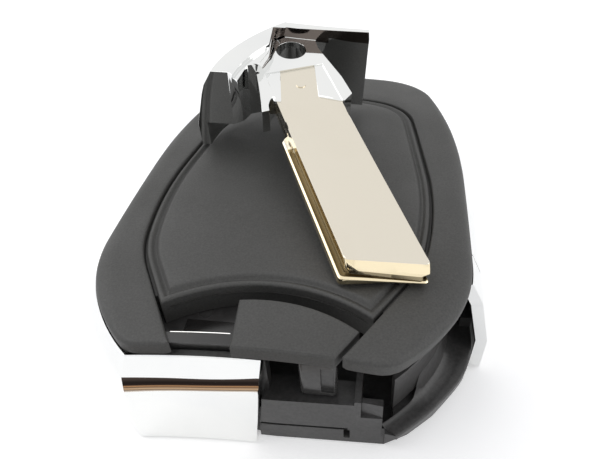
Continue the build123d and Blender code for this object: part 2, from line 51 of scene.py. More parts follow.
# Table: a plain sheet of white paper that takes the fob's soft shadow and runs out of sight.
# The camera and the glossy parts see it a little brighter than it lights them.
def seen_by(tree, *rays):
    light_path = tree.nodes.new("ShaderNodeLightPath")
    seen = light_path.outputs[rays[0]]
    for ray in rays[1:]:
        either = tree.nodes.new("ShaderNodeMath")
        either.operation = "MAXIMUM"
        tree.links.new(seen, either.inputs[0])
        tree.links.new(light_path.outputs[ray], either.inputs[1])
        seen = either.outputs["Value"]
    return seen


bpy.ops.mesh.primitive_plane_add(size=2.4, location=(0, 0, -0.0002))
table = bpy.context.active_object
table.name = "table"
paper = bpy.data.materials.new("white_paper")
paper.use_nodes = True
paper_nodes = paper.node_tree.nodes
paper_links = paper.node_tree.links
paper_shader = paper_nodes["Principled BSDF"]
paper_shader.inputs["Base Color"].default_value = (0.88, 0.872, 0.86, 1)
paper_shader.inputs["Roughness"].default_value = 0.9
paper_shader.inputs["Specular IOR Level"].default_value = 0.1
paper_lift = paper_nodes.new("ShaderNodeMath")
paper_lift.operation = "MULTIPLY"
paper_links.new(seen_by(paper.node_tree, "Is Camera Ray", "Is Glossy Ray"), paper_lift.inputs[0])
paper_lift.inputs[1].default_value = 0.34
paper_glow = paper_nodes.new("ShaderNodeEmission")
paper_links.new(paper_lift.outputs["Value"], paper_glow.inputs["Strength"])
paper_sum = paper_nodes.new("ShaderNodeAddShader")
paper_links.new(paper_shader.outputs["BSDF"], paper_sum.inputs[0])
paper_links.new(paper_glow.outputs["Emission"], paper_sum.inputs[1])
paper_links.new(paper_sum.outputs["Shader"], paper_nodes["Material Output"].inputs["Surface"])
table.data.materials.append(paper)

# Painted reflection: a glowing strip laid flat before the fob's near end, dark with a warm bright
# edge on the fob's side.
# Only reflections show it: it paints the dark line along the chrome.
card_near_y, card_far_y = -0.0465, -0.0355
card_middle = (-0.0095, (card_near_y + card_far_y) / 2, 0.0001)
bpy.ops.mesh.primitive_plane_add(size=1, location=card_middle)
card = bpy.context.active_object
card.name = "painted_reflection_card"
card.scale = (0.033, card_far_y - card_near_y, 1)
bpy.ops.object.transform_apply(location=True, rotation=True, scale=True)
card.visible_camera = False
card.visible_diffuse = False
card.visible_shadow = False
card_paint = bpy.data.materials.new("painted_reflection_card")
card_paint.use_nodes = True
card_nodes = card_paint.node_tree.nodes
card_links = card_paint.node_tree.links
card_nodes.remove(card_nodes["Principled BSDF"])
card_place = card_nodes.new("ShaderNodeTexCoord")
card_split = card_nodes.new("ShaderNodeSeparateXYZ")
card_links.new(card_place.outputs["Object"], card_split.inputs["Vector"])
card_span = card_nodes.new("ShaderNodeMapRange")
card_span.inputs["From Min"].default_value = card_near_y
card_span.inputs["From Max"].default_value = card_far_y
card_links.new(card_split.outputs["Y"], card_span.inputs["Value"])
# The ramp's dark and warm bright bands of glow are painted reflections along the chrome.
card_tone = card_nodes.new("ShaderNodeValToRGB")
card_tones = card_tone.color_ramp.elements
card_tones[0].position = 0.0
card_tones[0].color = (0.045, 0.034, 0.03, 1)
card_tones[1].position = 1.0
card_tones[1].color = (0.80, 0.70, 0.60, 1)
for spot, tone in ((0.45, (0.09, 0.068, 0.06, 1)), (0.70, (0.02, 0.015, 0.013, 1)),
                   (0.80, (0.03, 0.02, 0.018, 1)), (0.84, (0.55, 0.30, 0.15, 1)),
                   (0.87, (0.10, 0.06, 0.04, 1)), (0.92, (0.70, 0.48, 0.30, 1)),
                   (0.955, (0.22, 0.14, 0.09, 1))):
    card_tones.new(spot).color = tone
card_links.new(card_span.outputs["Result"], card_tone.inputs["Fac"])
card_glow = card_nodes.new("ShaderNodeEmission")
card_links.new(card_tone.outputs["Color"], card_glow.inputs["Color"])
card_links.new(card_glow.outputs["Emission"], card_nodes["Material Output"].inputs["Surface"])
card.data.materials.append(card_paint)

# Lights: two broad softboxes, one high over the far left and one low from the right,
# in a white room that the camera and the glossy parts see as plain white.
world = bpy.data.worlds.new("white_room")
bpy.context.scene.world = world
world.use_nodes = True
room_nodes = world.node_tree.nodes
room_links = world.node_tree.links
room_light = room_nodes["Background"]
room_light.inputs["Color"].default_value = (0.93, 0.95, 1.0, 1)
room_light.inputs["Strength"].default_value = 0.6
room_white = room_nodes.new("ShaderNodeBackground")
room_white.inputs["Color"].default_value = (1.0, 1.0, 1.0, 1)
room_white.inputs["Strength"].default_value = 1.0
room_mix = room_nodes.new("ShaderNodeMixShader")
room_links.new(seen_by(world.node_tree, "Is Camera Ray", "Is Glossy Ray", "Is Transmission Ray"),
               room_mix.inputs["Fac"])
room_links.new(room_light.outputs["Background"], room_mix.inputs[1])
room_links.new(room_white.outputs["Background"], room_mix.inputs[2])
room_links.new(room_mix.outputs["Shader"], room_nodes["World Output"].inputs["Surface"])

for name, place, size, power in (("softbox_high", (-0.27, 0.04, 0.34), 0.5, 0.85),
                                 ("softbox_side", (0.30, -0.06, 0.20), 0.30, 0.3)):
    lamp = bpy.data.lights.new(name, "AREA")
    lamp.shape = "SQUARE"
    lamp.size = size
    lamp.energy = power
    box = bpy.data.objects.new(name, lamp)
    box.location = place
    box.rotation_euler = (-Vector(place)).to_track_quat("-Z", "Y").to_euler()
    bpy.context.scene.collection.objects.link(box)


# Release slider: the thumb catch between the frame's legs, held in the chassis's track. It is
# moulded, like the frame and the panel, in warm dark grey soft-touch plastic with a fine spark
# texture.
def shader_group(name, inputs):
    group = bpy.data.node_groups.new(name, "ShaderNodeTree")
    for label, kind, value in inputs:
        socket = group.interface.new_socket(name=label, in_out="INPUT", socket_type=kind)
        socket.default_value = value
    for label, kind in (("Colour", "NodeSocketColor"), ("Roughness", "NodeSocketFloat"),
                        ("Height", "NodeSocketFloat")):
        group.interface.new_socket(name=label, in_out="OUTPUT", socket_type=kind)
    return group, group.nodes.new("NodeGroupInput"), group.nodes.new("NodeGroupOutput")


# A socket takes a plain number or another node's output
def feed(tree, socket, value):
    if isinstance(value, (int, float)):
        socket.default_value = value
    else:
        tree.links.new(value, socket)


def noise_in(tree, place, scale, detail, rough=0.5):
    noise = tree.nodes.new("ShaderNodeTexNoise")
    noise.inputs["Detail"].default_value = detail
    noise.inputs["Roughness"].default_value = rough
    feed(tree, noise.inputs["Scale"], scale)
    tree.links.new(place, noise.inputs["Vector"])
    return noise.outputs["Fac"]


def ranged(tree, value, low, high, to_low, to_high):
    span = tree.nodes.new("ShaderNodeMapRange")
    span.inputs["From Min"].default_value = low
    span.inputs["From Max"].default_value = high
    feed(tree, span.inputs["To Min"], to_low)
    feed(tree, span.inputs["To Max"], to_high)
    tree.links.new(value, span.inputs["Value"])
    return span.outputs["Result"]


def blended(tree, amount, first, second, mode="MIX"):
    mix = tree.nodes.new("ShaderNodeMix")
    mix.data_type = "RGBA"
    mix.blend_type = mode
    first_socket, second_socket = [socket for socket in mix.inputs if socket.type == "RGBA"]
    feed(tree, mix.inputs["Factor"], amount)
    feed(tree, first_socket, first)
    feed(tree, second_socket, second)
    return [socket for socket in mix.outputs if socket.type == "RGBA"][0]


grain_group, grain_in, grain_out = shader_group(
    "moulded_grain",
    [("Plastic Colour", "NodeSocketColor", (0.05, 0.05, 0.05, 1)),
     ("Rubbed Colour", "NodeSocketColor", (0.09, 0.09, 0.09, 1)),
     ("Grain Scale", "NodeSocketFloat", 5200.0),
     ("Dull Roughness", "NodeSocketFloat", 0.62),
     ("Shiny Roughness", "NodeSocketFloat", 0.42)])
grain_place = grain_group.nodes.new("ShaderNodeTexCoord").outputs["Object"]
sparks = noise_in(grain_group, grain_place, grain_in.outputs["Grain Scale"], 3.0, 0.65)
patches = noise_in(grain_group, grain_place, 130.0, 4.0)
rubbed = ranged(grain_group, patches, 0.42, 0.78, 0.0, 0.35)
grain_patchy = blended(grain_group, rubbed, grain_in.outputs["Plastic Colour"],
                       grain_in.outputs["Rubbed Colour"])
spark_tone = ranged(grain_group, sparks, 0.3, 0.72, 0.72, 1.3)
spark_grey = grain_group.nodes.new("ShaderNodeCombineColor")
for channel in ("Red", "Green", "Blue"):
    grain_group.links.new(spark_tone, spark_grey.inputs[channel])
grain_colour = blended(grain_group, 1.0, grain_patchy, spark_grey.outputs["Color"], "MULTIPLY")
grain_group.links.new(grain_colour, grain_out.inputs["Colour"])
grain_roughness = ranged(grain_group, patches, 0.3, 0.8, grain_in.outputs["Dull Roughness"],
                         grain_in.outputs["Shiny Roughness"])
grain_group.links.new(grain_roughness, grain_out.inputs["Roughness"])
grain_group.links.new(sparks, grain_out.inputs["Height"])


# A material whose colour, roughness and relief come from one of the shader groups
def grouped_material(name, group, values, bump, relief_depth):
    material = bpy.data.materials.new(name)
    material.use_nodes = True
    tree = material.node_tree
    shader = tree.nodes["Principled BSDF"]
    surface = tree.nodes.new("ShaderNodeGroup")
    surface.node_tree = group
    for label, value in values.items():
        surface.inputs[label].default_value = value
    relief = tree.nodes.new("ShaderNodeBump")
    relief.inputs["Strength"].default_value = bump
    relief.inputs["Distance"].default_value = relief_depth
    tree.links.new(surface.outputs["Colour"], shader.inputs["Base Color"])
    tree.links.new(surface.outputs["Roughness"], shader.inputs["Roughness"])
    tree.links.new(surface.outputs["Height"], relief.inputs["Height"])
    tree.links.new(relief.outputs["Normal"], shader.inputs["Normal"])
    return material


def moulded_plastic(name, colour, rubbed_colour, grain_scale, dull, shiny, bump):
    values = {"Plastic Colour": colour, "Rubbed Colour": rubbed_colour, "Grain Scale": grain_scale,
              "Dull Roughness": dull, "Shiny Roughness": shiny}
    return grouped_material(name, grain_group, values, bump, 0.00002)


def active_alone(piece):
    bpy.ops.object.select_all(action="DESELECT")
    piece.select_set(True)
    bpy.context.view_layer.objects.active = piece


# Every edge of the active piece that is sharper than the angle is rounded
def rounded_edges(piece, radius, segments, sharp):
    edge = piece.modifiers.new("rounded_edges", "BEVEL")
    edge.width = radius * 0.001
    edge.segments = segments
    edge.limit_method = "ANGLE"
    edge.angle_limit = math.radians(sharp)
    bpy.ops.object.modifier_apply(modifier=edge.name)


# The active piece is shaded soft but for its sharp edges, and its flat faces stay flat
def even_shading(piece, smooth):
    bpy.ops.object.shade_smooth_by_angle(angle=math.radians(smooth))
    even = piece.modifiers.new("flat_faces_stay_flat", "WEIGHTED_NORMAL")
    even.keep_sharp = True
    bpy.ops.object.modifier_apply(modifier=even.name)


# The node's own mesh, merged to whole faces, with every sharp edge rounded as moulding leaves it
def softened_copy(node, body, material, rounding, segments):
    piece = bpy.data.objects.new(node + "_finished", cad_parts[node].data.copy())
    bpy.context.scene.collection.objects.link(piece)
    active_alone(piece)
    bpy.ops.object.mode_set(mode="EDIT")
    bpy.ops.mesh.select_all(action="SELECT")
    bpy.ops.mesh.remove_doubles(threshold=0.000004)
    bpy.ops.mesh.dissolve_limited(angle_limit=math.radians(0.6))
    bpy.ops.mesh.normals_make_consistent(inside=False)
    bpy.ops.object.mode_set(mode="OBJECT")
    bpy.ops.mesh.customdata_custom_splitnormals_clear()
    rounded_edges(piece, rounding, segments, 32)
    even_shading(piece, 28)
    piece.data.materials.clear()
    piece.data.materials.append(material)
    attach(piece, body)
    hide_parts(node)
    return piece


soft_grey = moulded_plastic("soft_grey_plastic", (0.046, 0.0452, 0.0425, 1),
                            (0.058, 0.057, 0.0545, 1), 5200.0, 0.6, 0.48, 0.35)
softened_copy("release_slider", "release", soft_grey, 0.16, 3)

# Back frame: the matte grey plate round the panel, moulded with a rounded shoulder and two
# legs at the key end, and snapped on the case. Its section is swept from one leg to the other.
case_height, case_length = 14.0, 60.0


# An arc that leaves its start in the given direction, and the direction it arrives in
def tangent_arc(start, end, direction, count):
    sx, sy = start
    chord = Vector((end[0] - sx, end[1] - sy))
    side = Vector((-direction[1], direction[0]))
    reach = chord.dot(side)
    points = []
    if abs(reach) < 1e-9:
        for i in range(1, count + 1):
            points.append((sx + chord.x * i / count, sy + chord.y * i / count))
        return points, direction
    radius = chord.length_squared / (2 * reach)
    cx, cy = sx + side.x * radius, sy + side.y * radius
    first = math.atan2(sy - cy, sx - cx)
    last = math.atan2(end[1] - cy, end[0] - cx)
    turn = last - first
    if radius > 0 and turn < 0:
        turn += 2 * math.pi
    if radius < 0 and turn > 0:
        turn -= 2 * math.pi
    for i in range(1, count + 1):
        a = first + turn * i / count
        points.append((cx + abs(radius) * math.cos(a), cy + abs(radius) * math.sin(a)))
    spin = 1 if radius > 0 else -1
    return points, (-math.sin(last) * spin, math.cos(last) * spin)


# A line from the far end's middle down the right side, each arc going on from the last
def arcs_through(knots, counts):
    line, direction = [knots[0]], (1.0, 0.0)
    for start, end, count in zip(knots, knots[1:], counts):
        arc, direction = tangent_arc(start, end, direction, count)
        line += arc
    return line


# The case's outline, made wider by the flare and let out at the near end by the bulge
def case_outline(flare, bulge):
    far_growth = 6.0

    def place(x, y):
        along = y / case_length
        return (x * flare, y - bulge * (1 - along) + far_growth * (flare - 1) * along)

    knots = [(0, 60.0), (9.0, 58.9), (16.2, 52.0), (19.25, 30.0), (19.0, 14.5), (16.9, 7.1),
             (11.4, 0.8)]
    line = arcs_through([place(x, y) for x, y in knots], (8, 12, 12, 10, 8, 8))
    middle_y = place(0, 1.5)[1]
    half, corner_y = line[-1]
    rise = middle_y - corner_y
    radius = (half * half + rise * rise) / (2 * rise)
    sweep = 2 * math.asin(half / radius)
    near = []
    near_steps = 24
    for i in range(1, near_steps):
        a = sweep / 2 - sweep * i / near_steps
        near.append((radius * math.sin(a), middle_y - radius * (1 - math.cos(a))))
    return line + near + [(-x, y) for x, y in reversed(line[1:])]


# Height of the crowned back: level for the first 12 mm, then falling away to the far end
def crowned_top(y, drop):
    level_until, fall = 12.0, 2.45
    sloping = max(0.0, y - level_until) / (case_length - level_until)
    return case_height - fall * sloping ** 2 - drop


# A closed line moved inward, each corner along its own mitre. Points that would pass a sharp
# corner stop at it.
def moved_inward(loop, distance, corners=()):
    moved = []
    points_near_corner, past_corner = 16, -0.02
    for i, (x, y) in enumerate(loop):
        next_x, next_y = loop[(i + 1) % len(loop)]
        before = Vector((x - loop[i - 1][0], y - loop[i - 1][1])).normalized()
        after = Vector((next_x - x, next_y - y)).normalized()
        first = Vector((before.y, -before.x))
        second = Vector((after.y, -after.x))
        mitre = (first + second) / (1.0 + first.dot(second))
        moved.append((x + mitre.x * distance, y + mitre.y * distance))
    for corner in corners:
        tip = Vector(moved[corner])
        for step in (-1, 1):
            along = (Vector(loop[corner]) - Vector(loop[corner + step])).normalized()
            for i in range(1, points_near_corner):
                if (Vector(moved[corner + step * i]) - tip).dot(along) > past_corner:
                    moved[corner + step * i] = moved[corner]
    return moved


# From 0 at the start to 1 at the end, and level before and after
def share_between(value, start, end):
    return min(1.0, max(0.0, (value - start) / (end - start)))


# Points at given shares of a line's length
def points_along(line, shares):
    reach = [0.0]
    for (ax, ay), (bx, by) in zip(line, line[1:]):
        reach.append(reach[-1] + math.hypot(bx - ax, by - ay))
    found = []
    for share in shares:
        want = share * reach[-1]
        i = 0
        while i < len(reach) - 2 and reach[i + 1] < want:
            i += 1
        part = (want - reach[i]) / max(reach[i + 1] - reach[i], 1e-9)
        (ax, ay), (bx, by) = line[i], line[i + 1]
        found.append((ax + (bx - ax) * part, ay + (by - ay) * part))
    return found


# A soft bend that cuts the corner between two points
def bend(start, corner, end, count):
    points = []
    for step in range(count):
        t = step / (count - 1)
        points.append(tuple(start[i] * (1 - t) ** 2 + corner[i] * 2 * t * (1 - t) + end[i] * t ** 2
                            for i in (0, 1)))
    return points


# From millimetres, with y counted from the near end, to the frame's metres, and back
def in_metres(point):
    x, y, z = point
    return x * 0.001, (y - case_length / 2) * 0.001, z * 0.001


def in_millimetres(place):
    return place * 1000 + Vector((0, case_length / 2, 0))


# A skin through stacked rings of the same number of points, given in millimetres
def stacked_rings(name, rings):
    count = len(rings[0])
    bpy.ops.object.select_all(action="DESELECT")
    bpy.ops.mesh.primitive_circle_add(vertices=count, radius=0.02, fill_type="NOTHING",
                                      location=(0, 0, 0))
    skin = bpy.context.active_object
    skin.name = name
    bpy.ops.object.mode_set(mode="EDIT")
    bpy.ops.mesh.select_mode(type="VERT")
    bpy.ops.mesh.select_all(action="SELECT")
    for level in range(len(rings) - 1):
        bpy.ops.mesh.extrude_region_move(TRANSFORM_OT_translate={"value": (0, 0, 0.001)})
    bpy.ops.object.mode_set(mode="OBJECT")
    for level, ring in enumerate(rings):
        for spot, point in enumerate(ring):
            skin.data.vertices[level * count + spot].co = in_metres(point)
    return skin


# The same with its first and last ring closed, its faces turned outward and its finish on
def closed_rings(name, rings, smooth, finish):
    skin = stacked_rings(name, rings)
    bpy.ops.object.mode_set(mode="EDIT")
    bpy.ops.mesh.select_all(action="SELECT")
    bpy.ops.mesh.fill_holes(sides=0)
    bpy.ops.mesh.select_all(action="SELECT")
    bpy.ops.mesh.normals_make_consistent(inside=False)
    bpy.ops.object.mode_set(mode="OBJECT")
    bpy.ops.object.shade_smooth_by_angle(angle=math.radians(smooth))
    skin.data.materials.append(finish)
    return skin


# The outline's point 58 is its near right corner, which the frame rounds with a bend
frame_loop = moved_inward(case_outline(1.0, 0.0), 0.12)
corner_spot, corner_reach, clear_of_bend = 58, 1.3, 0.05
side_from_x, leg_from_x = 14, 7.85
corner = Vector(frame_loop[corner_spot])
bend_start, bend_end = [
    corner + (Vector(frame_loop[corner_spot + step]) - corner).normalized() * corner_reach
    for step in (-1, 1)]
corner_bend = bend(bend_start, corner, bend_end, 7)
frame_right = [(x, y) for x, y in frame_loop[:corner_spot]
               if y > corner_bend[0][1] + clear_of_bend or x > side_from_x] + corner_bend[:4]
leg_tip_outer, leg_tip_inner = (7.75, 1.33), (7.42, 1.55)
frame_near = corner_bend[3:] + [(x, y) for x, y in frame_loop[corner_spot + 1:corner_spot + 24]
                                if leg_from_x < x < corner_bend[-1][0] - clear_of_bend]
frame_near.append(leg_tip_outer)
opening_knots = [(0, 50.5), (8.6, 48.8), (13.4, 42.5), (15.0, 29.0), (14.65, 15.4), (12.9, 10.6)]
opening_side = arcs_through(opening_knots, (12, 12, 12, 12, 12))
leg = [leg_tip_inner, (9.3, 4.65), (11.4, 8.12), opening_knots[-1]]

# Matching stretches of the frame's outer and inner line, from the leg's tip to the far end
outer_knots = (0, 8, 20, 32, 42, 50, len(frame_right))
outer_spans = [frame_near[::-1]]
for first, last in reversed(list(zip(outer_knots, outer_knots[1:]))):
    outer_spans.append(frame_right[first:last + 1][::-1])
inner_spans = [leg[:2], leg[1:3], leg[2:] + opening_side[48:60][::-1]]
for first in (36, 24, 12, 0):
    inner_spans.append(opening_side[first:first + 13][::-1])
outer_stations, inner_stations = [leg_tip_outer], [leg_tip_inner]
for outer, inner, steps in zip(outer_spans, inner_spans, (6, 10, 10, 12, 14, 14, 10)):
    shares = [step / steps for step in range(1, steps + 1)]
    outer_stations += points_along(outer, shares)
    inner_stations += points_along(inner, shares)


# One cross-section of the frame: rounded shoulder outside, crowned top, small rounding at the
# opening. Its shoulder gets wider and deeper away from the leg's tip.
def frame_section(outer, inner):
    plate = 1.4
    width = math.hypot(inner[0] - outer[0], inner[1] - outer[1])
    wide = share_between(outer[1], 1.0, 8.0)
    shoulder = min(0.45 + 1.55 * wide, 0.45 * width)
    depth = min(0.4 + 0.75 * wide, 0.8 * width)
    edge = min(0.24, 0.2 * width)
    spots = [(0.0, plate), (0.0, (plate + depth) / 2)]
    for step in range(9):
        a = math.pi / 2 * step / 8
        spots.append((shoulder * (1 - math.cos(a)), depth * (1 - math.sin(a))))
    for step in (1, 2, 3):
        spots.append((shoulder + (width - edge - shoulder) * step / 4, 0.0))
    for step in range(4):
        a = math.pi / 2 * step / 3
        spots.append((width - edge + edge * math.sin(a), edge * (1 - math.cos(a))))
    spots += [(width, plate), (width * 0.67, plate), (width * 0.33, plate)]
    section = []
    for across, drop in spots:
        share = across / width
        x = outer[0] + (inner[0] - outer[0]) * share
        y = outer[1] + (inner[1] - outer[1]) * share
        section.append((x, y, crowned_top(y, drop)))
    return section


frame_sections = []
for outer, inner in zip(outer_stations, inner_stations):
    frame_sections.append(frame_section(outer, inner))
for section in reversed(frame_sections[:-1]):
    frame_sections.append([(-x, y, z) for x, y, z in section])
frame_skin = closed_rings("back_frame_finished", frame_sections, 40, soft_grey)
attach(frame_skin, "case")
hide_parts("back_frame")

# Back panel: the raised cover inside the frame, moulded in the same grey and snapped in. Its
# rim has a rounded ridge and a shallow valley, and at its round near end a wall turns down to
# the slider's track.
panel_knots = [(0, 50.2), (8.4, 48.5), (13.1, 42.3), (14.7, 29.0), (14.36, 15.5), (12.64, 10.76)]
panel_right = arcs_through(panel_knots, (10, 12, 14, 12, 8))
knee_x, knee_y = panel_knots[-1]
corner_x, corner_y = 9.72, 5.91
for step in (1, 2, 3):
    panel_right.append((knee_x + (corner_x - knee_x) * step / 4,
                        knee_y + (corner_y - knee_y) * step / 4))
arc_middle_y, arc_radius, arc_steps = -7.3, 16.4, 40
corner_angle = math.atan2(corner_y - arc_middle_y, corner_x)
panel_near = []
for step in range(arc_steps + 1):
    a = corner_angle + (math.pi - 2 * corner_angle) * step / arc_steps
    panel_near.append((arc_radius * math.cos(a), arc_middle_y + arc_radius * math.sin(a)))
panel_loop = panel_right + panel_near + [(-x, y) for x, y in reversed(panel_right[1:])]
arc_first = len(panel_right)
arc_last = arc_first + len(panel_near) - 1

# The rim's profile: how far each ring lies inward and how far under the crown
panel_profile = [(-0.24, 1.4), (-0.24, 0.62), (-0.02, 0.56), (0.0, 0.42), (0.03, 0.3), (0.1, 0.2),
                 (0.2, 0.13), (0.32, 0.1), (0.44, 0.12), (0.55, 0.2), (0.66, 0.32), (0.78, 0.41),
                 (0.88, 0.43), (0.98, 0.38), (1.1, 0.24), (1.22, 0.11), (1.36, 0.03), (1.52, 0.0)]
panel_rings = []
for inset, drop in panel_profile:
    line = moved_inward(panel_loop, inset, (arc_first, arc_last))
    panel_rings.append([(x, y, crowned_top(y, drop)) for x, y in line])
rim_ring = 3
for spot in range(arc_first, arc_last + 1):
    x, y, z = panel_rings[rim_ring][spot]
    for ring, wall_z in enumerate((10.98, 11.4, 11.9)):
        panel_rings[ring][spot] = (x, y, wall_z)

# From the rim the skin runs in to a spine along the panel's middle
inner_ring = panel_rings[-1]
rows, spine_near, spine_far = 9, 18.0, 42.0
for row in range(1, rows + 1):
    share = row / rows
    panel_rings.append([])
    for x, y, z in inner_ring:
        row_y = y + (min(max(y, spine_near), spine_far) - y) * share
        panel_rings[-1].append((x * (1 - share), row_y, crowned_top(row_y, 0.0)))


# An open skin is merged, turned so that its outward measure is positive, and given a wall inside
def walled(skin, merge, thickness, even, outward):
    active_alone(skin)
    bpy.ops.object.mode_set(mode="EDIT")
    bpy.ops.mesh.select_all(action="SELECT")
    bpy.ops.mesh.remove_doubles(threshold=merge)
    bpy.ops.mesh.normals_make_consistent(inside=False)
    bpy.ops.object.mode_set(mode="OBJECT")
    if sum(outward(face) for face in skin.data.polygons) < 0:
        bpy.ops.object.mode_set(mode="EDIT")
        bpy.ops.mesh.select_all(action="SELECT")
        bpy.ops.mesh.flip_normals()
        bpy.ops.object.mode_set(mode="OBJECT")
    wall = skin.modifiers.new("wall", "SOLIDIFY")
    wall.thickness = thickness * 0.001
    wall.offset = -1
    wall.use_even_offset = even
    bpy.ops.object.modifier_apply(modifier=wall.name)


panel_skin = stacked_rings("back_panel_finished", panel_rings)
walled(panel_skin, 0.000004, 1.1, False, lambda face: face.normal.z * face.area)
bpy.ops.object.shade_smooth_by_angle(angle=math.radians(33))
panel_skin.data.materials.append(soft_grey)
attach(panel_skin, "case")
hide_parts("back_panel")

# Front housing: the button-side shell of hard graphite plastic, with the step block, rib and low
# wall that the empty key pocket shows. Moulded in one piece; the edges by the slot are glossier.
graphite = moulded_plastic("graphite_plastic", (0.04, 0.0385, 0.0375, 1), (0.06, 0.058, 0.056, 1),
                           2600.0, 0.42, 0.28, 0.25)
housing = softened_copy("front_housing", "case", graphite, 0.1, 2)
notch_depth = 0.00115
for vertex in housing.data.vertices:
    x, y, z = in_millimetres(vertex.co)
    if 8.7 < x < 11.35 and y < 3.15 and 2.8 < z < 3.12:
        vertex.co.z -= notch_depth

# The pocket's flange runs from the flared rim over the rib to the foot of the wall. Each profile
# point has a share, from 0 at the rim through 1 at the rib to 2 at the foot, and a height.
pocket_steps = 44
pocket_shares = [step / pocket_steps for step in range(pocket_steps + 1)]
pocket_stretch = slice(40, 59)
rim_line, rib_line, foot_line = [
    points_along(moved_inward(case_outline(flare, bulge), inset)[pocket_stretch], pocket_shares)
    for flare, bulge, inset in ((1.127, 0.775, 1.33), (1.0, 0.0, 1.45), (1.0, 0.0, 1.95))]
rise_near = [(0.0, 2.6), (0.0, 2.86), (0.03, 2.94), (0.09, 2.98), (0.4, 2.96), (0.75, 3.0),
             (0.93, 3.08), (1.0, 3.16), (1.12, 3.16), (1.16, 3.1), (1.18, 1.7), (1.3, 1.65),
             (0.8, 1.65)]
rise_far = [(0.0, 2.6), (0.0, 2.86), (0.03, 2.94), (0.09, 2.98), (0.4, 2.96), (0.75, 3.05),
            (0.93, 3.25), (1.15, 3.5), (1.5, 3.95), (1.8, 4.6), (2.0, 5.6), (2.1, 5.6),
            (0.8, 1.65)]
wall_profile = ((0.0, 3.9), (0.0, 7.9), (-0.1, 8.0), (-0.6, 8.0), (-0.6, 3.5), (-0.15, 3.5),
                (-0.05, 3.6))
wall_from_x = 11.75
flange_sections, wall_sections = [], []
for rim, rib, foot in zip(rim_line, rib_line, foot_line):
    far = share_between(rib[0], 13.9, 14.6)
    section = []
    for (near_share, near_z), (far_share, far_z) in zip(rise_near, rise_far):
        share = near_share + (far_share - near_share) * far
        (ax, ay), (bx, by) = (rim, rib) if share <= 1 else (rib, foot)
        part = share if share <= 1 else share - 1
        height = near_z + (far_z - near_z) * far
        section.append((ax + (bx - ax) * part, ay + (by - ay) * part, height))
    flange_sections.append(section)
    if foot[0] > wall_from_x:
        out = (Vector(rib) - Vector(foot)).normalized()
        wall_sections.append([(foot[0] + out.x * across, foot[1] + out.y * across, height)
                              for across, height in wall_profile])


# A piece made for another one becomes part of it, with its own finish
def joined_to(whole, piece):
    active_alone(piece)
    whole.select_set(True)
    bpy.context.view_layer.objects.active = whole
    bpy.ops.object.join()


joined_to(housing, closed_rings("pocket_flange", flange_sections, 35, graphite))
joined_to(housing, closed_rings("pocket_wall", wall_sections, 35, graphite))
rail_black = moulded_plastic("rail_black", (0.012, 0.011, 0.0105, 1), (0.035, 0.03, 0.027, 1),
                             900.0, 0.24, 0.12, 0.1)
housing.data.materials.append(rail_black)
slot_wall_z = 0.0123
for polygon in housing.data.polygons:
    if polygon.center.z > slot_wall_z:
        polygon.material_index = 1

# Inner chassis: glossy black moulding that carries the cell, the key's channel and the slider's
# track, screwed down over the board. A flat strip of it is the slot's floor, left of the slider.
chassis_black = moulded_plastic("chassis_black", (0.034, 0.0325, 0.0315, 1), (0.05, 0.048, 0.046, 1),
                                1400.0, 0.34, 0.18, 0.12)
chassis = softened_copy("inner_chassis", "case", chassis_black, 0.06, 2)
bpy.ops.mesh.primitive_cube_add(size=1, location=(-0.00435, -0.0247, 0.0107))
slot_cover = bpy.context.active_object
slot_cover.scale = (0.0079, 0.0036, 0.00039)
bpy.ops.object.transform_apply(location=True, rotation=True, scale=True)
slot_cover.data.materials.append(rail_black)
joined_to(chassis, slot_cover)

# Slide wire: bright drawn steel that the slider runs along, let into the back edge of the
# housing's near wall. It is fixed in the chassis and counts as part of it.
polish_group, polish_in, polish_out = shader_group(
    "plated_metal",
    [("Metal Colour", "NodeSocketColor", (0.9, 0.9, 0.9, 1)),
     ("Dull Colour", "NodeSocketColor", (0.8, 0.8, 0.8, 1)),
     ("Bright Roughness", "NodeSocketFloat", 0.03),
     ("Smudged Roughness", "NodeSocketFloat", 0.09),
     ("Scratch Scale", "NodeSocketFloat", 900.0)])
polish_place = polish_group.nodes.new("ShaderNodeTexCoord").outputs["Object"]
drawn_out = polish_group.nodes.new("ShaderNodeMapping")
drawn_out.inputs["Rotation"].default_value = (0, 0, 0.45)
drawn_out.inputs["Scale"].default_value = (1.0, 0.05, 1.0)
polish_group.links.new(polish_place, drawn_out.inputs["Vector"])
scratches = noise_in(polish_group, drawn_out.outputs["Vector"], polish_in.outputs["Scratch Scale"],
                     6.0, 0.7)
smudges = noise_in(polish_group, polish_place, 90.0, 3.0)
smudge_mask = ranged(polish_group, smudges, 0.45, 0.75, 0.0, 1.0)
polish_colour = blended(polish_group, smudge_mask, polish_in.outputs["Metal Colour"],
                        polish_in.outputs["Dull Colour"])
polish_group.links.new(polish_colour, polish_out.inputs["Colour"])
polish_roughness = ranged(polish_group, smudges, 0.4, 0.8, polish_in.outputs["Bright Roughness"],
                          polish_in.outputs["Smudged Roughness"])
polish_group.links.new(polish_roughness, polish_out.inputs["Roughness"])
polish_group.links.new(scratches, polish_out.inputs["Height"])


def metal(name, colour, dull_colour, bright, smudged, scratch_scale, bump):
    values = {"Metal Colour": colour, "Dull Colour": dull_colour, "Bright Roughness": bright,
              "Smudged Roughness": smudged, "Scratch Scale": scratch_scale}
    material = grouped_material(name, polish_group, values, bump, 0.00001)
    material.node_tree.nodes["Principled BSDF"].inputs["Metallic"].default_value = 1.0
    return material


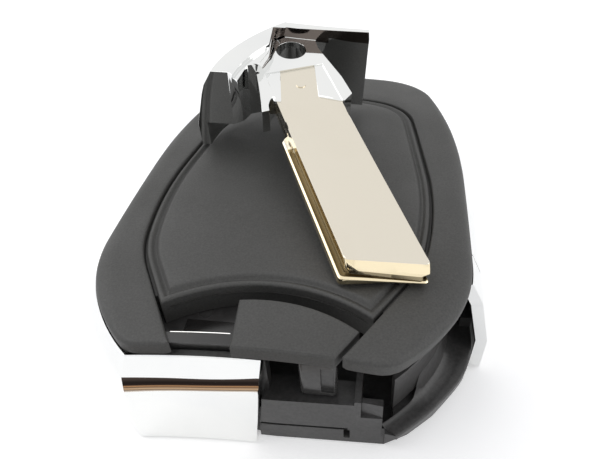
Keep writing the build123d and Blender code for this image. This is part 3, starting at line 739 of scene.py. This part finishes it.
wire_steel = metal("slide_wire", (0.95, 0.94, 0.92, 1), (0.85, 0.84, 0.82, 1), 0.12, 0.22, 1500.0,
                   0.05)
wire_left, wire_length, wire_steps, wire_radius, wire_z = -8.3, 5.5, 12, 0.1, 12.47
wall_back_y, wall_curve = 4.12, 186
wire_sections = []
for step in range(wire_steps + 1):
    x = wire_left + wire_length * step / wire_steps
    y = wall_back_y - x * x / wall_curve
    wire_sections.append([(x, y + wire_radius * math.cos(math.pi * turn / 4),
                           wire_z + wire_radius * math.sin(math.pi * turn / 4))
                          for turn in range(8)])
joined_to(chassis, closed_rings("slide_wire", wire_sections, 50, wire_steel))

# Release latch: a small moulded hook of glossy black plastic, fixed under the slider. It drops
# in front of the key head's plate and holds the key in.
latch_black = moulded_plastic("latch_black", (0.034, 0.033, 0.032, 1), (0.07, 0.067, 0.063, 1),
                              1900.0, 0.3, 0.14, 0.15)
softened_copy("release_latch", "release", latch_black, 0.08, 3)

# Chrome band and its short end stretch: plated plastic clipped round the case, bright as a
# mirror, with a crease near its top. The band is cut off, leaning, where the key head belongs,
# and the end stretch follows past a seam on the right.
chrome = metal("bright_chrome", (0.85, 0.855, 0.845, 1), (0.8, 0.81, 0.81, 1), 0.03, 0.07, 900.0,
               0.02)
crease_z = 10.1
band_profile = [(0.0, 1.115, 0.66), (0.18, 1.121, 0.72), (4.4, 1.13, 0.8), (7.8, 1.09, 0.802),
                (8.3, 1.0845, 0.796), (8.75, 1.079, 0.779), (9.2, 1.074, 0.751),
                (9.65, 1.0695, 0.711), (10.0, 1.066, 0.671), (crease_z, 1.0645, 0.656),
                (12.42, 1.006, 0.05), (12.55, 1.0, -0.02)]


# Toward the cut the crease climbs a little
def crease_lift(x, y):
    return 0.85 * share_between(x, -6.0, 0.5) ** 2 if x < 3 and y < 6 else 0.0


band_rings = []
for height, flare, bulge in band_profile:
    band_rings.append([])
    for x, y in case_outline(flare, bulge):
        z = height if height < 7.5 else crowned_top(y, case_height - height)
        if 7.5 < height < 12:
            z += crease_lift(x, y)
        band_rings[-1].append((x, y, z))
band_shell = stacked_rings("chrome_band_shell", band_rings)


# A plane adds edges to the piece where it passes
def score(piece, point, normal):
    active_alone(piece)
    bpy.ops.object.mode_set(mode="EDIT")
    bpy.ops.mesh.select_all(action="SELECT")
    bpy.ops.mesh.bisect(plane_co=point, plane_no=normal)
    bpy.ops.object.mode_set(mode="OBJECT")


def keep_faces(piece, wanted):
    active_alone(piece)
    bpy.ops.object.mode_set(mode="EDIT")
    bpy.ops.mesh.select_mode(type="FACE")
    bpy.ops.object.mode_set(mode="OBJECT")
    for polygon in piece.data.polygons:
        polygon.select = not wanted(polygon.center)
    bpy.ops.object.mode_set(mode="EDIT")
    bpy.ops.mesh.delete(type="FACE")
    bpy.ops.object.mode_set(mode="OBJECT")


band_end_shell = band_shell.copy()
band_end_shell.data = band_shell.data.copy()
bpy.context.scene.collection.objects.link(band_end_shell)
cut_top_x, cut_bottom_x, cut_height = 0.5, -1.0, 12.6
cut_point = Vector((cut_top_x * 0.001, 0.0, cut_height * 0.001))
cut_normal = Vector((1.0, 0.0, -(cut_top_x - cut_bottom_x) / cut_height)).normalized()
seam, half_gap, end_low, right_side_x = 16.4, 0.06, 12.2, 0.014
seam_far_y, seam_near_y, end_low_y = [in_metres((0, y, 0))[1]
                                      for y in (seam + half_gap, seam - half_gap, end_low)]
score(band_shell, cut_point, cut_normal)
score(band_shell, (0, seam_far_y, 0), (0, 1, 0))
keep_faces(band_shell,
           lambda c: (c - cut_point).dot(cut_normal) < 0 or (c.x > 0 and c.y > seam_far_y))
score(band_end_shell, (0, seam_near_y, 0), (0, 1, 0))
score(band_end_shell, (0, end_low_y, 0), (0, 1, 0))
keep_faces(band_end_shell, lambda c: c.x > right_side_x and end_low_y < c.y < seam_near_y)


def plated_shell(piece, name, node):
    piece.name = name
    walled(piece, 0.000002, 1.15, True,
           lambda face: face.normal.x * face.center.x + face.normal.y * face.center.y)
    rounded_edges(piece, 0.07, 3, 50)
    bpy.ops.object.shade_smooth_by_angle(angle=math.radians(9.5))
    on_crease, nearness = [], 0.02
    for vertex in piece.data.vertices:
        x, y, z = in_millimetres(vertex.co)
        line_z = crowned_top(y, case_height - crease_z) + crease_lift(x, y)
        on_crease.append(abs(z - line_z) < nearness)
    for line in piece.data.edges:
        if on_crease[line.vertices[0]] and on_crease[line.vertices[1]]:
            line.use_edge_sharp = True
    piece.data.materials.append(chrome)
    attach(piece, "case")
    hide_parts(node)


plated_shell(band_shell, "chrome_band", "chrome_trim")
plated_shell(band_end_shell, "chrome_band_end", "chrome_trim_end")

# Key head: one hollow chrome-plated piece with a skirt that goes on from the band, a plate with
# the ring's hole and a hook. It lies loose on the back, and whatever is drawn for it in its
# stowed place is carried there by the same move.
blade_half, lie_turn, lie_tilt = 1.35, math.radians(25.0), math.radians(11.3)
key_stowed = Matrix.Translation((-1.7, 36.0, 8.0)) @ Matrix.Rotation(math.radians(202.0), 4, "Z")
key_laid = (Matrix.Translation((10.6, 10.3, 14.02 + blade_half * math.sin(lie_tilt)))
            @ Matrix.Rotation(lie_turn, 4, "Z") @ Matrix.Rotation(lie_tilt, 4, "X"))
pulled_out = key_laid @ key_stowed.inverted()
back_home = pulled_out.inverted()
key_head = softened_copy("key_head", "case", chrome, 0.1, 3)
# Darker brownish metal for the inner side of the end wall: a painted dark reflection in the chrome.
painted_reflection_plating = metal("painted_reflection_plating", (0.17, 0.145, 0.13, 1), (0.12, 0.1, 0.09, 1), 0.12, 0.2,
                      700.0, 0.04)
key_head.data.materials.append(painted_reflection_plating)

# The skirt's lower tip is drawn in, and the inner side of the end wall takes a darker brownish
# metal, a painted dark reflection
tip_shift = 1.6
for vertex in key_head.data.vertices:
    home = back_home @ in_millimetres(vertex.co)
    if home.y > 12.3 and home.x > 14.5 and home.z < 9.5:
        home.y -= tip_shift
        vertex.co = in_metres(pulled_out @ home)
for polygon in key_head.data.polygons:
    middle = back_home @ in_millimetres(polygon.center)
    facing = (back_home.to_3x3() @ polygon.normal).normalized()
    if facing.y > 0.6 and middle.y < 2.8 and middle.z > 10.9 and middle.x < 12.9:
        polygon.material_index = 1

# A ramp joins the head's plate to its skirt
ramp_shares = [step / 14 for step in range(15)]
ramp_high = points_along([(12.6, 1.3), (12.95, 2.3), (12.95, 7.0), (13.8, 9.5)], ramp_shares)
ramp_low = points_along([(12.22, 1.25), (12.3, 2.3), (12.24, 7.0), (12.9, 9.3)], ramp_shares)
ramp_sections = []
for (hx, hy), (lx, ly) in zip(ramp_high, ramp_low):
    section = [(hx + 0.5, hy, 12.03), (hx + 0.1, hy, 12.03), (hx * 0.6 + lx * 0.4, hy, 11.86),
               (hx * 0.3 + lx * 0.7, ly, 11.3), (lx, ly, 10.78), (lx, ly, 10.4),
               (hx + 0.5, hy, 11.2)]
    ramp_sections.append([tuple(pulled_out @ Vector(point)) for point in section])
joined_to(key_head, closed_rings("key_head_ramp", ramp_sections, 60, chrome))

# Two lips of the socket reach over the blade's root; they are drawn on the blade, from its tip
socket_lips = [[(3.9, 30.15), (2.6, 30.15), (1.25, 24.3), (1.35, 24.15), (3.5, 22.8), (3.9, 22.75)],
               [(-1.7, 30.15), (-3.9, 30.15), (-3.9, 24.9), (-3.7, 24.8), (-3.15, 24.6),
                (-3.05, 24.75)]]
for lip_line in socket_lips:
    middle = sum((Vector(point) for point in lip_line), Vector((0, 0))) / len(lip_line)
    lip_rings = []
    for height, shrink in ((2.2, 1.0), (2.57, 1.0), (2.61, 0.985), (2.63, 0.95)):
        ring = [middle + (Vector(point) - middle) * shrink for point in lip_line]
        lip_rings.append([tuple(key_laid @ Vector((x, y, height))) for x, y in ring])
    joined_to(key_head, closed_rings("key_head_lip", lip_rings, 30, chrome))

# Key blade: a flat nickelled steel blade, ground to a bevelled tip, with a groove milled along
# its left side over a ledge. It is pinned in the head, and the cut faces show warmer metal.
blade_steel = metal("blade_nickel", (0.75, 0.7, 0.6, 1), (0.71, 0.66, 0.56, 1), 0.16, 0.24, 1500.0,
                    0.1)
# Dark brown for the groove and the step under the bevel: milled metal with painted shade in it.
groove_metal_and_shade = metal("milled_groove_and_painted_shade", (0.3, 0.25, 0.16, 1), (0.24, 0.2, 0.13, 1), 0.16, 0.26,
                     1800.0, 0.1)
milled_steel = metal("milled_blade_edges", (0.9, 0.78, 0.54, 1), (0.85, 0.7, 0.45, 1), 0.1, 0.2,
                     1800.0, 0.06)
shank_half, shank_y, root_y, ledge_z = 3.6, 21.1, 30.1, 0.92
hollow_levels, groove_levels, top_level = range(6, 11), range(5, 14), 15


# The blade's outline at one level, from the root down the left side, round the tip and back
def blade_loop(left, right, setback, skew):
    tip_left, tip_right, round_left, round_right = setback + 0.75, setback - skew, 0.35, 0.5
    slope = (tip_left - tip_right) / (left + right)

    def left_edge(y):
        if y > shank_y:
            return -shank_half
        return -left + max(0.0, left - 3.5) * share_between(y, 19.7, 20.5) ** 2

    loop = []
    for far_y, near_y, count in ((root_y, 21.2, 4), (21.2, 16.8, 24),
                                 (16.8, tip_left + round_left, 12)):
        for step in range(count):
            y = far_y + (near_y - far_y) * step / count
            loop.append((left_edge(y), y))
    loop += bend((-left, tip_left + round_left), (-left, tip_left),
                 (-left + round_left, tip_left - slope * round_left), 6)
    for step in range(1, 10):
        x = -left + round_left + (left + right - round_left - round_right) * step / 10
        loop.append((x, tip_left - slope * (x + left)))
    loop += bend((right - round_right, tip_right + slope * round_right), (right, tip_right),
                 (right, tip_right + round_right), 6)
    for step in range(1, 41):
        y = tip_right + round_right + (root_y - tip_right - round_right) * step / 40
        loop.append((right if y < shank_y else shank_half, y))
    return loop


# Each level from the underside up: height, left and right half widths, tip's setback and skew
blade_levels = [(0.0, 4.28, 3.22, 0.14, 1.2), (0.1, 4.4, 3.35, 0.0, 1.35),
                (0.72, 4.4, 3.35, 0.0, 2.0), (0.85, 4.36, 3.33, 0.05, 2.05),
                (ledge_z, 4.25, 3.3, 0.16, 2.05), (ledge_z, 4.14, 3.28, 0.27, 2.05),
                (0.64, 3.95, 3.1, 0.45, 2.05), (0.56, 3.78, 3.0, 0.58, 2.05),
                (0.56, 3.5, 2.9, 0.7, 2.05), (0.64, 3.45, 2.9, 0.72, 2.05),
                (1.0, 3.45, 2.9, 0.6, 2.05), (1.08, 3.45, 2.9, 0.3, 2.05),
                (1.12, 3.45, 2.9, 0.25, 2.05), (1.45, 3.47, 2.95, 0.42, 2.05),
                (1.52, 3.6, 3.6, 0.46, 2.05), (2.42, 3.6, 3.6, 0.94, 2.05),
                (2.5, 3.53, 3.53, 1.02, 2.05)]
blade_rings = []
for level, (height, left, right, setback, skew) in enumerate(blade_levels):
    blade_rings.append([])
    for x, y in blade_loop(left, right, setback, skew):
        in_hollow = x < -3 and level in hollow_levels and y < shank_y
        runs_out = share_between(y, 17.0, 18.6) ** 2 if in_hollow else 0.0
        z = height + (ledge_z - height) * runs_out
        blade_rings[-1].append(tuple(key_laid @ Vector((x, y, z))))
blade = closed_rings("key_blade_finished", blade_rings, 38, blade_steel)
even_shading(blade, 38)
blade.data.materials.append(milled_steel)
blade.data.materials.append(groove_metal_and_shade)
ring_count, milled_until_y = len(blade_rings[0]), 18.4
# Faces in the groove and under the bevel get the dark brown of painted shade; the other cut faces
# get the warmer metal.
for polygon in blade.data.polygons:
    levels = [vertex // ring_count for vertex in polygon.vertices]
    along = (key_laid.inverted() @ in_millimetres(polygon.center)).y
    if min(levels) < top_level and along <= milled_until_y:
        in_groove = all(level in groove_levels for level in levels)
        polygon.material_index = 2 if in_groove else 1
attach(blade, "case")
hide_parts("key_blade")


# Case seal and button pad: soft black silicone rubber, moulded. The seal lies on the wall's top
# under the frame and the pad under the three caps. These and all the pieces below are inside or
# underneath, so their nodes keep their shape and take the real finish.
def finished(material, *nodes):
    for node in nodes:
        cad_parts[node].data.materials.clear()
        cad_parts[node].data.materials.append(material)


seal_rubber = moulded_plastic("seal_rubber", (0.022, 0.022, 0.023, 1), (0.04, 0.04, 0.04, 1),
                              1500.0, 0.85, 0.7, 0.3)
finished(seal_rubber, "case_seal", "button_pad")

# Button caps: three hard plastic caps, moulded with a fine grain. They come through the button
# face from inside and are held by their own flange.
button_plastic = moulded_plastic("button_plastic", (0.03, 0.03, 0.032, 1), (0.045, 0.045, 0.048, 1),
                                 4200.0, 0.5, 0.4, 0.3)
finished(button_plastic, "button_lock", "button_unlock", "button_boot")

# Switches: three small push switches in black moulded cases, soldered on the board. Each one
# stands behind a cap, with the pad between.
switch_black = moulded_plastic("switch_black", (0.02, 0.02, 0.021, 1), (0.035, 0.035, 0.036, 1),
                               3000.0, 0.5, 0.4, 0.1)
finished(switch_black, "switch_lock", "switch_unlock", "switch_boot")

# Circuit board: glass-fibre board under green lacquer, clamped under the chassis. Its coil of
# dark ferrite and its radio chip in dark resin are soldered on.
board_green = moulded_plastic("board_green", (0.015, 0.12, 0.05, 1), (0.03, 0.17, 0.075, 1),
                              900.0, 0.35, 0.25, 0.1)
component_dark = moulded_plastic("component_dark", (0.025, 0.025, 0.028, 1), (0.04, 0.04, 0.045, 1),
                                 3000.0, 0.55, 0.42, 0.15)
finished(board_green, "circuit_board")
finished(component_dark, "antenna_coil", "radio_chip")

# Release spring and key pin: coiled bright spring wire lying across in the latch's slot, and a
# plain steel pin pressed through the head and the blade's root.
spring_steel = metal("spring_steel", (0.62, 0.62, 0.61, 1), (0.5, 0.5, 0.49, 1), 0.18, 0.3, 2500.0,
                     0.1)
finished(spring_steel, "release_spring")
finished(blade_steel, "key_pin")

# Coin cell and crystal: pressed cans of nickelled steel. The cell lies in the chassis's well and
# the crystal is soldered on the board.
cell_steel = metal("cell_steel", (0.75, 0.75, 0.74, 1), (0.66, 0.66, 0.65, 1), 0.2, 0.32, 1200.0,
                   0.15)
finished(cell_steel, "coin_cell", "crystal")

# Battery contacts: two bent springs of thin gold-plated sheet, soldered on the board. One
# touches the cell's face and the other its rim.
contact_gold = metal("contact_gold", (0.82, 0.64, 0.34, 1), (0.7, 0.53, 0.28, 1), 0.2, 0.3, 2000.0,
                     0.1)
finished(contact_gold, "battery_contact_positive", "battery_contact_negative")

# Case screws: four alike, small zinc-plated steel, that go through the chassis and the board
# into the housing's bosses.
screw_steel = metal("screw_steel", (0.55, 0.55, 0.54, 1), (0.45, 0.45, 0.43, 1), 0.25, 0.38, 3000.0,
                    0.15)
finished(screw_steel, "case_screws")

bpy.context.scene.view_settings.view_transform = "Standard"
